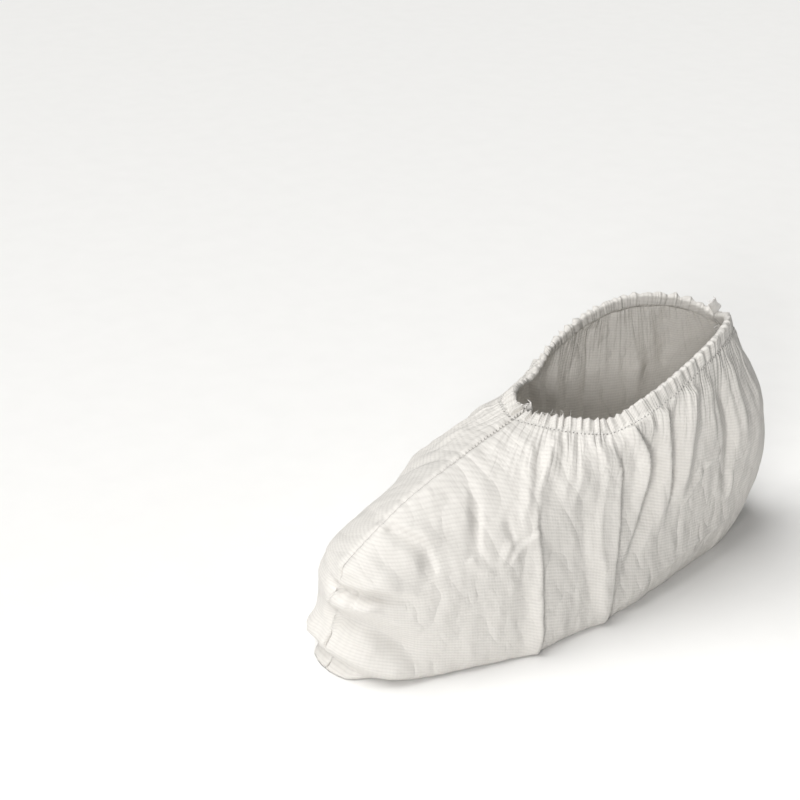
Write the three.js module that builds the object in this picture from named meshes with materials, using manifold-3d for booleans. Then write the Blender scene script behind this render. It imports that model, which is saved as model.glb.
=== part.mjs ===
// Disposable boot cover: a low overshoe of thin nonwoven cloth, in the shape it has on a boot.
// Two mirrored panels meet in one seam that runs down the instep, round the toe, along the
// middle of the sole and up the heel. Each panel's top edge is turned in over a ring of elastic,
// which gathers the mouth. Millimetres, +Z up, toe towards -Y, sole flat on Z = 0.
import * as THREE from 'three';
import { mergeVertices } from 'three/addons/utils/BufferGeometryUtils.js';
import Module from 'manifold-3d';

const wasm = await Module();
wasm.setup();

// ---- driving dimensions, mm ----
const WALL = 1.2; // cloth, thickened to a wall that can be built
const SEAM_GAP = 0.3; // between the two panels, at the mid plane
const SEAM_ALLOWANCE = 5; // cloth turned inwards along the seam
const HEM_HEIGHT = 8; // stitch line to the folded edge of the mouth
const HEM_RETURN = 1; // the turned-in cloth stops this far above the stitch line
const CASING_SPACE = 1.6; // between the hem's two layers
const ELASTIC_THICKNESS = 0.8;
const ELASTIC_WIDTH = 5;
const GATHER_COUNT = 18; // gathers along each panel's hem
const GATHER_DEPTH = 1.6; // how far a gather swells at the hem
const GATHER_FADE = 0.3; // share of the way down to the sole where the gathers have died out
const TAB = { width: 7, height: 9, thickness: 1.2 }; // cut end of the heel seam
const SEAM_END = { width: 9, height: 6, thickness: 1.6 }; // frayed end of the instep seam
const COLUMNS_ROUND = 54; // facets from the instep seam to the heel seam
const DIFFERENCE_STEP = 1e-3; // step for slopes of the surface, in u or v

// ---- shape of one panel ----
// Six guide lines run round the panel, from the instep seam (u = 0) to the heel seam (u = 1).
// v says how far down from the hem's stitch line (0) to the middle of the sole (1) each one lies.
// Columns: u, x (out from the mid plane), y (towards the heel), z (up).
const GUIDES = [
  { name: 'hem', v: 0, rows: [
    [0, 0, -35, 112], [0.1, 15, -31, 113], [0.22, 28, -19, 111],
    [0.36, 40, 2, 109], [0.5, 46, 29, 119], [0.64, 45, 58, 131],
    [0.78, 37, 86, 138], [0.9, 21, 111, 137], [1, 0, 124, 131],
  ] },
  { name: 'collar', v: 0.2, rows: [
    [0, 0, -72, 104], [0.1, 16, -68, 100], [0.22, 31, -54, 96],
    [0.36, 43, -28, 94], [0.5, 50, 8, 97], [0.64, 51, 47, 105],
    [0.78, 43, 85, 112], [0.9, 27, 118, 115], [1, 0, 136, 115],
  ] },
  { name: 'shoulder', v: 0.42, rows: [
    [0, 0, -122, 86], [0.1, 19, -116, 79], [0.22, 34, -97, 73],
    [0.36, 46, -66, 71], [0.5, 52, -18, 71], [0.64, 53, 33, 75],
    [0.78, 48, 84, 80], [0.9, 35, 128, 84], [1, 0, 152, 85],
  ] },
  { name: 'belly', v: 0.62, rows: [
    [0, 0, -158, 54], [0.1, 22, -151, 50], [0.22, 39, -129, 44],
    [0.36, 51, -88, 40], [0.5, 56, -34, 38], [0.64, 54, 22, 38],
    [0.78, 46, 80, 38], [0.9, 33, 130, 40], [1, 0, 156, 44],
  ] },
  { name: 'sole edge', v: 0.8, rows: [
    [0, 0, -157, 0], [0.1, 19, -150, 0], [0.22, 35, -129, 0],
    [0.36, 47, -90, 0], [0.5, 52, -38, 0], [0.64, 47, 18, 0],
    [0.78, 36, 72, 0], [0.9, 24, 112, 0], [1, 0, 130, 0],
  ] },
];
const SOLE_EDGE = GUIDES.length - 1;
const KEEL = { v: 1, toe: -145, heel: 114 }; // the seam under the sole, on the mid plane
const SECTION_ROWS = [0, 0.08, 0.19, 0.3, 0.4, 0.5, 0.59, 0.67, 0.74, 0.8, 0.9, 1]; // v, hem to keel

// Standing folds. Columns: top and bottom (u of the crest at the hem and at the sole),
// from and to (v), height (out of the surface, mm; below 0 is a valley), front and back
// (run-out on the toe side and the heel side, in u).
const FOLDS = {
  right: [
    { top: 0.26, bottom: 0.46, from: 0.1, to: 0.86, height: 5.5, front: 0.045, back: 0.03 },
    { top: 0.43, bottom: 0.57, from: 0, to: 0.85, height: 5, front: 0.03, back: 0.045 },
    { top: 0.53, bottom: 0.6, from: 0.02, to: 0.7, height: -4, front: 0.03, back: 0.03 },
    { top: 0.66, bottom: 0.7, from: 0, to: 0.72, height: 4, front: 0.03, back: 0.035 },
    { top: 0.8, bottom: 0.82, from: 0, to: 0.66, height: 4, front: 0.035, back: 0.03 },
    { top: 0.05, bottom: 0.2, from: 0.3, to: 0.6, height: -3, front: 0.04, back: 0.05 },
  ],
  left: [
    { top: 0.2, bottom: 0.4, from: 0.08, to: 0.84, height: 5, front: 0.03, back: 0.045 },
    { top: 0.38, bottom: 0.52, from: 0, to: 0.82, height: 4.5, front: 0.045, back: 0.03 },
    { top: 0.5, bottom: 0.62, from: 0.02, to: 0.74, height: -4, front: 0.03, back: 0.03 },
    { top: 0.62, bottom: 0.7, from: 0, to: 0.8, height: 5, front: 0.03, back: 0.035 },
    { top: 0.83, bottom: 0.85, from: 0, to: 0.66, height: 4, front: 0.035, back: 0.03 },
  ],
};
const FOLD_END = 0.15; // v over which a fold rises from nothing at either end
const FOLD_AT_HEM = 0.3; // share of a fold's height left at the hem, where the cloth is drawn in
const FOLD_FULL = 0.5; // v from which a fold has its full height
// The toe's spare cloth: a low ear where the seam turns under, and a crushed band above it.
const TOE_EAR = { v: 0.72, reach: 0.05, round: 0.1, height: 4.5 };
const TOE_CRUSH = { v: 0.65, reach: 0.05, round: 0.2, height: -5 };

// ---- small maths ----
const smooth = (t) => {
  const s = Math.min(1, Math.max(0, t));
  return s * s * (3 - 2 * s);
};
const bump = (t) => 1 - smooth(Math.abs(t));

// Slopes of a smooth curve through points at unevenly spaced stations.
function slopes(stations, points) {
  const secants = points.slice(1).map((p, i) => p.clone().sub(points[i])
    .divideScalar(stations[i + 1] - stations[i]));
  return points.map((point, i) => {
    if (i === 0) return secants[0].clone();
    if (i === points.length - 1) return secants[i - 1].clone();
    const before = stations[i] - stations[i - 1];
    const after = stations[i + 1] - stations[i];
    return secants[i - 1].clone().multiplyScalar(after)
      .addScaledVector(secants[i], before)
      .divideScalar(before + after);
  });
}

// The point at one station of the cubic curve through the points.
function along(stations, points, tangents, station) {
  let i = 0;
  while (i < stations.length - 2 && station > stations[i + 1]) i += 1;
  const span = stations[i + 1] - stations[i];
  const s = (station - stations[i]) / span;
  return new THREE.Vector3()
    .addScaledVector(points[i], 2 * s ** 3 - 3 * s ** 2 + 1)
    .addScaledVector(tangents[i], span * (s ** 3 - 2 * s ** 2 + s))
    .addScaledVector(points[i + 1], 3 * s ** 2 - 2 * s ** 3)
    .addScaledVector(tangents[i + 1], span * (s ** 3 - s ** 2));
}

// One guide line as a curve that crosses the mid plane square to it.
function guideCurve(rows) {
  const stations = rows.map(([u]) => u);
  const points = rows.map(([, x, y, z]) => new THREE.Vector3(x, y, z));
  const tangents = slopes(stations, points);
  [tangents[0], tangents.at(-1)].forEach((tangent) => tangent.set(tangent.x, 0, 0));
  return (u) => along(stations, points, tangents, u);
}

const guideCurves = GUIDES.map(({ rows }) => guideCurve(rows));
const keelCurve = (u) => {
  const share = (1 - Math.cos(Math.PI * u)) / 2;
  return new THREE.Vector3(0, THREE.MathUtils.lerp(KEEL.toe, KEEL.heel, share), 0);
};
const guideStations = [...GUIDES.map(({ v }) => v), KEEL.v];

// The panel's smooth outer surface, before folds.
function plainSurface(u, v) {
  const points = [...guideCurves, keelCurve].map((curve) => curve(u));
  const tangents = slopes(guideStations, points);
  tangents.slice(SOLE_EDGE).forEach((tangent) => tangent.setZ(0));
  return along(guideStations, points, tangents, v);
}

// Outward normal of a surface; on the seams it lies in the mid plane.
function normalOf(surface, u, v) {
  const u0 = Math.max(0, u - DIFFERENCE_STEP);
  const u1 = Math.min(1, u + DIFFERENCE_STEP);
  const v0 = Math.max(0, v - DIFFERENCE_STEP);
  const v1 = Math.min(1, v + DIFFERENCE_STEP);
  const round = surface(u1, v).sub(surface(u0, v));
  const down = surface(u, v1).sub(surface(u, v0));
  const normal = down.cross(round);
  if (u === 0 || u === 1 || v === 1) normal.setX(0);
  return normal.normalize();
}

// How far one standing fold lifts the cloth at (u, v).
function foldLift(fold, u, v) {
  const start = fold.from > 0 ? smooth((v - fold.from) / FOLD_END) : 1;
  const end = smooth((fold.to - v) / FOLD_END);
  const share = THREE.MathUtils.lerp(FOLD_AT_HEM, 1, smooth(v / FOLD_FULL));
  const offset = u - THREE.MathUtils.lerp(fold.top, fold.bottom, Math.min(1, v / 0.8));
  const runOut = offset < 0 ? fold.front : fold.back;
  return fold.height * share * start * end * Math.max(0, 1 - Math.abs(offset) / runOut) ** 1.5;
}

const gatherLift = (u, v) => GATHER_DEPTH * (1 - smooth(v / GATHER_FADE))
  * (0.5 - 0.5 * Math.cos(2 * Math.PI * GATHER_COUNT * u));
const toeLift = (spot, u, v) => spot.height * bump((v - spot.v) / spot.reach) * bump(u / spot.round);

// The outer surface of one panel with its folds, and flat where it meets the floor.
function foldedSurface(side) {
  return (u, v) => {
    const offFloor = smooth((GUIDES[SOLE_EDGE].v - v) / 0.04);
    const folds = FOLDS[side].reduce((sum, fold) => sum + foldLift(fold, u, v), 0);
    const toe = toeLift(TOE_EAR, u, v) + toeLift(TOE_CRUSH, u, v);
    const lift = gatherLift(u, v) + offFloor * (folds + toe);
    return plainSurface(u, v).addScaledVector(normalOf(plainSurface, u, v), lift);
  };
}

// ---- the turned hem, in a frame across the hem: inwards from the outer face, up from the stitches ----
const HEM_INNER = 2 * WALL + CASING_SPACE;
const HEM_TOP = HEM_HEIGHT - WALL;
// Columns: outer face (in, up), inner face (in, up), swell (share of the gather's swell; - is inwards)
const HEM_ROWS = [
  [HEM_INNER, HEM_RETURN, WALL + CASING_SPACE, HEM_RETURN, -1],
  [HEM_INNER, HEM_TOP, WALL + CASING_SPACE, HEM_TOP - 0.2, -1],
  [0.75 * HEM_INNER, HEM_HEIGHT, 0.6 * HEM_INNER, HEM_TOP, -0.5],
  [0.25 * HEM_INNER, HEM_HEIGHT, 0.4 * HEM_INNER, HEM_TOP, 0.5],
  [0, HEM_TOP, WALL, HEM_TOP - 0.2, 1],
  [0, HEM_HEIGHT / 2, WALL, HEM_HEIGHT / 2, 1],
];

// Axes across the hem at station u: outwards, and up along the cloth, square to the hem line.
function hemFrame(u) {
  const round = plainSurface(Math.min(1, u + DIFFERENCE_STEP), 0)
    .sub(plainSurface(Math.max(0, u - DIFFERENCE_STEP), 0));
  if (u === 0 || u === 1) round.set(1, 0, 0);
  round.normalize();
  const out = normalOf(plainSurface, u, 0);
  const up = out.clone().cross(round).normalize();
  if (up.z < 0) up.negate();
  return { origin: plainSurface(u, 0), out, up };
}

const acrossHem = ({ origin, out, up }, inwards, height) => origin.clone()
  .addScaledVector(out, -inwards)
  .addScaledVector(up, height);

// ---- solids ----
const toManifold = (geometry) => {
  const bare = geometry.clone();
  bare.deleteAttribute('normal');
  bare.deleteAttribute('uv');
  const merged = mergeVertices(bare, 1e-4);
  return new wasm.Manifold(new wasm.Mesh({
    numProp: 3,
    vertProperties: new Float32Array(merged.attributes.position.array),
    triVerts: new Uint32Array(merged.index.array),
  }));
};

const toGeometry = (manifold) => {
  const mesh = manifold.getMesh();
  const geometry = new THREE.BufferGeometry();
  geometry.setAttribute('position', new THREE.BufferAttribute(new Float32Array(mesh.vertProperties), 3));
  geometry.setIndex(new THREE.BufferAttribute(new Uint32Array(mesh.triVerts), 1));
  geometry.computeVertexNormals();
  return geometry;
};

function geometryOf(points, triangles) {
  const geometry = new THREE.BufferGeometry();
  geometry.setFromPoints(points);
  geometry.setIndex(triangles);
  geometry.computeVertexNormals();
  return geometry;
}

// A closed solid from sections: section i is a ring of points, and joins section i + 1.
function sweep(sections, closed) {
  const size = sections[0].length;
  const points = sections.flat();
  const triangles = [];
  const quad = (a, b, c, d) => triangles.push(a, b, c, a, c, d);
  const last = closed ? sections.length : sections.length - 1;
  for (let i = 0; i < last; i += 1) {
    const here = i * size;
    const next = ((i + 1) % sections.length) * size;
    for (let k = 0; k < size; k += 1) {
      const turn = (k + 1) % size;
      quad(here + k, next + k, next + turn, here + turn);
    }
  }
  if (!closed) {
    // A section is a strip: its first half is the outer face, its second half the inner face, reversed.
    const end = (sections.length - 1) * size;
    for (let k = 0; k < size / 2 - 1; k += 1) {
      quad(k, k + 1, size - 2 - k, size - 1 - k);
      quad(end + k, end + size - 1 - k, end + size - 2 - k, end + k + 1);
    }
  }
  return geometryOf(points, triangles);
}

// The section of a panel at station u: outer face from the turned-in edge to the keel, and back.
function panelSection(surface, u) {
  const frame = hemFrame(u);
  const swell = gatherLift(u, 0);
  const hemOuter = HEM_ROWS.map(([inwards, up, , , share]) => acrossHem(frame, inwards - share * swell, up));
  const hemInner = HEM_ROWS.map(([, , inwards, up, share]) => acrossHem(frame, inwards - share * swell, up));
  const outer = SECTION_ROWS.map((v) => surface(u, v));
  const inner = SECTION_ROWS.map((v) => surface(u, v)
    .addScaledVector(normalOf(surface, u, v), -WALL));
  return [...hemOuter, ...outer, ...inner.reverse(), ...hemInner.reverse()];
}

// The cloth turned inwards along the seam, from the instep down, round the sole and up the heel.
function seamAllowance(surface) {
  const instep = SECTION_ROWS.map((v) => [0, v]);
  const keel = [0.15, 0.3, 0.45, 0.6, 0.75, 0.88].map((u) => [u, 1]);
  const heel = SECTION_ROWS.toReversed().map((v) => [1, v]);
  const sections = [...instep, ...keel, ...heel].map(([u, v]) => {
    const edge = surface(u, v);
    const inwards = normalOf(surface, u, v).negate();
    const corner = (x, depth) => edge.clone().addScaledVector(inwards, depth).setX(x);
    return [
      corner(0, WALL / 2),
      corner(0, SEAM_ALLOWANCE),
      corner(WALL, SEAM_ALLOWANCE),
      corner(WALL, WALL / 2),
    ];
  });
  return sweep(sections, false);
}

const cloth = (color) => new THREE.MeshStandardMaterial({ color, roughness: 0.62, metalness: 0 });

function namedMesh(name, geometry, material) {
  const mesh = new THREE.Mesh(geometry, material);
  mesh.name = name;
  return mesh;
}

// Turn a solid so that its faces point out.
function facingOut(geometry) {
  const manifold = toManifold(geometry);
  if (manifold.volume() > 0) return manifold;
  const flipped = geometry.clone();
  flipped.setIndex(Array.from(geometry.index.array).reverse());
  return toManifold(flipped);
}

function panel(side) {
  const surface = foldedSurface(side);
  const stations = Array.from({ length: COLUMNS_ROUND + 1 }, (_, i) => i / COLUMNS_ROUND);
  const shell = facingOut(sweep(stations.map((u) => panelSection(surface, u)), false));
  const joined = shell.add(facingOut(seamAllowance(surface)));
  const geometry = toGeometry(joined);
  geometry.translate(SEAM_GAP / 2, 0, 0);
  if (side === 'left') {
    geometry.scale(-1, 1, 1);
    geometry.setIndex(Array.from(geometry.index.array).reverse());
  }
  return namedMesh(`${side}_panel`, geometry, cloth('#f1efe9'));
}

// The ring of elastic inside the hem.
function elasticBand() {
  const inset = WALL + (CASING_SPACE - ELASTIC_THICKNESS) / 2;
  const bottom = (HEM_TOP + HEM_RETURN - ELASTIC_WIDTH) / 2;
  const section = (u, side) => {
    const frame = hemFrame(u);
    const corners = [[0, 0], [1, 0], [1, 1], [0, 1]];
    return corners.map(([deep, high]) => {
      const corner = acrossHem(frame, inset + deep * ELASTIC_THICKNESS, bottom + high * ELASTIC_WIDTH);
      const outwards = u === 0 || u === 1 ? 0 : SEAM_GAP / 2;
      return corner.set(side * (corner.x + outwards), corner.y, corner.z);
    });
  };
  const inner = Array.from({ length: COLUMNS_ROUND - 1 }, (_, i) => (i + 1) / COLUMNS_ROUND);
  const sections = [
    section(0, 1),
    ...inner.map((u) => section(u, 1)),
    section(1, 1),
    ...inner.toReversed().map((u) => section(u, -1)),
  ];
  return namedMesh('elastic_band', toGeometry(facingOut(sweep(sections, true))), cloth('#f4f4f2'));
}

// A small cut end of the seam, standing on the mouth's edge in the mid plane.
function seamTab(name, u, { width, height, thickness }) {
  const { origin, out, up } = hemFrame(u);
  const geometry = new THREE.BoxGeometry(thickness, width, height);
  const upright = new THREE.Matrix4().makeBasis(new THREE.Vector3(1, 0, 0), out, up);
  if (upright.determinant() < 0) upright.makeBasis(new THREE.Vector3(-1, 0, 0), out, up);
  const middle = acrossHem({ origin, out, up }, HEM_INNER / 2, HEM_HEIGHT + SEAM_GAP + height / 2);
  geometry.applyMatrix4(upright.setPosition(middle));
  return namedMesh(name, geometry, cloth('#eceae4'));
}

const cover = new THREE.Group();
cover.add(panel('right'));
cover.add(panel('left'));
cover.add(elasticBand());
cover.add(seamTab('heel_seam_end', 1, TAB));
cover.add(seamTab('instep_seam_end', 0, SEAM_END));

// The origin is the middle of the footprint of the whole cover.
const box = new THREE.Box3().setFromObject(cover);
const middle = box.getCenter(new THREE.Vector3());
cover.position.set(-middle.x, -middle.y, -box.min.z);

export default cover;
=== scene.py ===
# Disposable boot cover of thin flash-spun nonwoven, standing in the shape it has on a boot.
# Shape tables and fold tables are in millimetres; meshes are scaled to metres when they are made.
import math

import bmesh
import bpy
import numpy as np
from mathutils import Matrix, Vector


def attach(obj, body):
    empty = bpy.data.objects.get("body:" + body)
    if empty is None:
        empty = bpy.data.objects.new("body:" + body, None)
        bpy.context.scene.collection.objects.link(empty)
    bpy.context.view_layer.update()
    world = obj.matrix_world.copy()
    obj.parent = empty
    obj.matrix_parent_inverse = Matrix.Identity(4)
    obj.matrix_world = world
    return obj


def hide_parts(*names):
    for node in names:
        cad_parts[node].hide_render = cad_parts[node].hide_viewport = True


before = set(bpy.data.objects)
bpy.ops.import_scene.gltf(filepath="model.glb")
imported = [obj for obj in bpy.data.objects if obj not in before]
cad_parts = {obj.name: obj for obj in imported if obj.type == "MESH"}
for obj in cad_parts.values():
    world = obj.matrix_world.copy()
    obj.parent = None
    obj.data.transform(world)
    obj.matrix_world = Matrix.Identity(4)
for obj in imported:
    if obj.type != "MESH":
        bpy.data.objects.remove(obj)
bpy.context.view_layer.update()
MM = 0.001

# ---------------------------------------------------------------- cut and shape of a panel
# Guide lines round one panel, from the instep seam (u = 0) to the heel seam (u = 1).
# Columns: u, x (out from the middle seam), y (towards the heel), z (up).
HEM_LINE = [
    (0.00, 0, -35, 112), (0.10, 15, -31, 113), (0.22, 28, -19, 111),
    (0.36, 40, 2, 109), (0.50, 46, 29, 119), (0.64, 45, 58, 131),
    (0.78, 37, 86, 138), (0.90, 21, 111, 137), (1.00, 0, 124, 131),
]
COLLAR_LINE = [
    (0.00, 0, -72, 104), (0.10, 16, -68, 100), (0.22, 31, -54, 96),
    (0.36, 43, -28, 94), (0.50, 50, 8, 97), (0.64, 51, 47, 105),
    (0.78, 43, 85, 112), (0.90, 27, 118, 115), (1.00, 0, 136, 115),
]
SHOULDER_LINE = [
    (0.00, 0, -122, 86), (0.10, 19, -116, 79), (0.22, 34, -97, 73),
    (0.36, 46, -66, 71), (0.50, 52, -18, 71), (0.64, 53, 33, 75),
    (0.78, 48, 84, 80), (0.90, 35, 128, 84), (1.00, 0, 152, 85),
]
BELLY_LINE = [
    (0.00, 0, -158, 54), (0.10, 22, -151, 50), (0.22, 39, -129, 44),
    (0.36, 51, -88, 40), (0.50, 56, -34, 38), (0.64, 54, 22, 38),
    (0.78, 46, 80, 38), (0.90, 33, 130, 40), (1.00, 0, 156, 44),
]
SOLE_LINE = [
    (0.00, 0, -157, 0), (0.10, 19, -150, 0), (0.22, 35, -129, 0),
    (0.36, 47, -90, 0), (0.50, 52, -38, 0), (0.64, 47, 18, 0),
    (0.78, 36, 72, 0), (0.90, 24, 112, 0), (1.00, 0, 130, 0),
]
KEEL_TOE, KEEL_HEEL = -145, 114
GUIDE_V = [0.0, 0.2, 0.42, 0.62, 0.8, 1.0]
SOLE_EDGE = 4  # index of the sole line among the guides
SOLE_V = GUIDE_V[SOLE_EDGE]
FOOTPRINT_SHIFT = np.array([0.0, 2.36, 0.0])  # brings the tables to the frame's origin

CLOTH_THICKNESS = 0.4
SEAM_GAP = 0.06  # each panel's edge stands this far off the middle plane
COLUMNS_ROUND = 312  # mesh columns from the instep seam to the heel seam
# mesh rows below the stitch line, closer where the gathers are. Columns: v reached, rows to it
ROWS_DOWN = [(0.0, 0), (0.10, 20), (0.30, 30), (0.80, 78), (1.0, 6)]
HEM_ROWS = 18  # mesh rows in the turned hem
HEM_HEIGHT = 9.0
HEM_THICKNESS = 3.3
STITCH_PITCH = 2.1
STITCH_LIFT = 0.22  # the hem's stitches lie this far proud of the cloth
THREAD_RADIUS = 0.17
SEAM_ALLOWANCE = 5.0
ALLOWANCE_START = 0.75  # the seam allowance starts this far inside the cloth's outer face
ALLOWANCE_END_V = 0.78  # and it is modelled down to here, just above the floor
# the gathers lean towards the heel on their way down from the hem. Columns: u, lean
GATHER_LEAN = [
    (0, 0.15), (0.1, 0.5), (0.25, 0.72), (0.42, 0.66),
    (0.55, 0.45), (0.65, 0.27), (0.8, 0.15), (1, 0),
]
# how far the toe seam strays towards the right-hand panel. Columns: v, mm
SEAM_SWAY = [(0, 0), (0.08, 2), (0.2, 5), (0.36, 8.5), (0.6, 9), (0.7, 6), (0.77, 2), (0.8, 0), (1, 0)]


def cubic(stations, points, slopes, at):
    """Points of the cubic curve through the stations' points; at may be an array."""
    stations = np.asarray(stations, float)
    at = np.asarray(at, float)
    i = np.clip(np.searchsorted(stations, at, side="right") - 1, 0, len(stations) - 2)
    span = stations[i + 1] - stations[i]
    s = ((at - stations[i]) / span)[..., None]
    span = span[..., None]
    pick = lambda table, k: np.take_along_axis(table, k[None, ..., None], 0)[0]
    near = pick(points, i) * (2 * s**3 - 3 * s**2 + 1) + pick(slopes, i) * span * (s**3 - 2 * s**2 + s)
    far = pick(points, i + 1) * (3 * s**2 - 2 * s**3) + pick(slopes, i + 1) * span * (s**3 - s**2)
    return near + far


def slopes_through(stations, points):
    """Slopes of a smooth curve through unevenly spaced points."""
    stations = np.asarray(stations, float)
    steps = np.diff(stations)
    secants = np.diff(points, axis=0) / steps.reshape((-1,) + (1,) * (points.ndim - 1))
    slopes = np.empty_like(points)
    slopes[0], slopes[-1] = secants[0], secants[-1]
    for i in range(1, len(points) - 1):
        before, after = steps[i - 1], steps[i]
        slopes[i] = (secants[i - 1] * after + secants[i] * before) / (before + after)
    return slopes


def guide_points(line, u):
    """A guide line at u: it crosses the middle plane square to it."""
    table = np.array(line, float)
    stations, points = table[:, 0], table[:, 1:]
    slopes = slopes_through(stations, points)
    slopes[[0, -1], 1:] = 0
    shape = (len(points),) + (1,) * u.ndim + (3,)
    spread = np.broadcast_to(points.reshape(shape), (len(points),) + u.shape + (3,))
    spread_slopes = np.broadcast_to(slopes.reshape(shape), (len(points),) + u.shape + (3,))
    return cubic(stations, spread, spread_slopes, u)


def plain_cloth(u, v):
    """The panel's outer face before folds, on the +X side, for arrays u and v of one shape."""
    u, v = np.broadcast_arrays(np.asarray(u, float), np.asarray(v, float))
    lines = [HEM_LINE, COLLAR_LINE, SHOULDER_LINE, BELLY_LINE, SOLE_LINE]
    guides = [guide_points(line, u) for line in lines]
    keel = np.zeros(u.shape + (3,))
    keel[..., 1] = KEEL_TOE + (KEEL_HEEL - KEEL_TOE) * (1 - np.cos(np.pi * u)) / 2
    points = np.stack([*guides, keel])
    slopes = slopes_through(GUIDE_V, points)
    slopes[SOLE_EDGE:, ..., 2] = 0
    return cubic(GUIDE_V, points, slopes, v)


def unit(vectors):
    return vectors / np.maximum(np.linalg.norm(vectors, axis=-1, keepdims=True), 1e-9)


def cloth_normal(u, v, step=2e-3):
    """Outward normal of the plain cloth; in the middle plane along the seams."""
    u, v = np.broadcast_arrays(np.asarray(u, float), np.asarray(v, float))
    round_panel = plain_cloth(np.minimum(u + step, 1), v) - plain_cloth(np.maximum(u - step, 0), v)
    down_panel = plain_cloth(u, np.minimum(v + step, 1)) - plain_cloth(u, np.maximum(v - step, 0))
    normal = np.cross(down_panel, round_panel)
    on_seam = (u <= 0) | (u >= 1) | (v >= 1)
    normal[on_seam, 0] = 0
    return unit(normal)


def smooth(t):
    t = np.clip(t, 0.0, 1.0)
    return t * t * (3 - 2 * t)


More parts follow.
